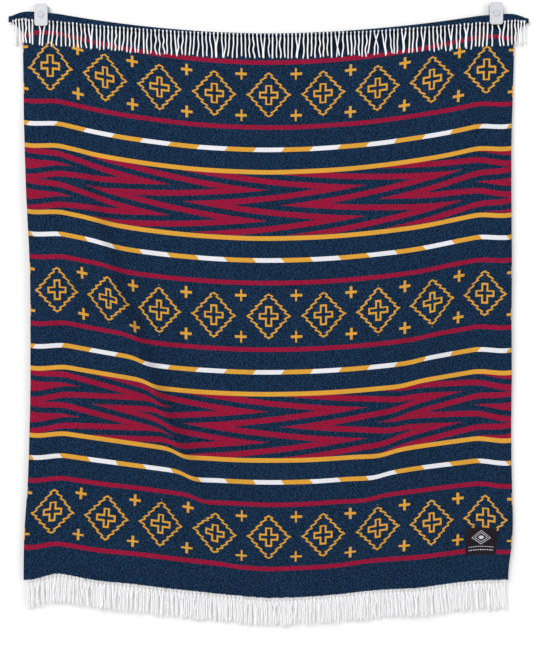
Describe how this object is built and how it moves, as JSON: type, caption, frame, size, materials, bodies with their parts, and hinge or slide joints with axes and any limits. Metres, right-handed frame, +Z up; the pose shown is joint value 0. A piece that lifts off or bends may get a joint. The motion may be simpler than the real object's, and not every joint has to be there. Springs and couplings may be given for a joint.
{
  "type": "fringed woven blanket with two wall clips",
  "caption": "Woven blanket with fringed ends, hung face on from wall clips, its top end turned over to the front, with soft swag folds and a sewn label.",
  "frame": {"origin": "on the wall plane, midway between the two clips", "axes": "+Z up, the blanket's face looks along -Y, +X to the right as seen from the front"},
  "size_m": [1.458, 0.0708, 1.747],
  "materials": {
    "cloth": "napped woven wool, navy with red, yellow and white bands",
    "yarn": "white twisted yarn",
    "label": "black woven tape",
    "clip": "white moulded plastic"
  },
  "bodies": {
    "root": {"blanket": "cloth", "fringe_top": "yarn", "fringe_bottom": "yarn", "label": "label", "clip_left_back": "clip", "clip_left_front": "clip", "clip_left_knob": "clip", "clip_right_back": "clip", "clip_right_front": "clip", "clip_right_knob": "clip"}
  },
  "joints": []
}
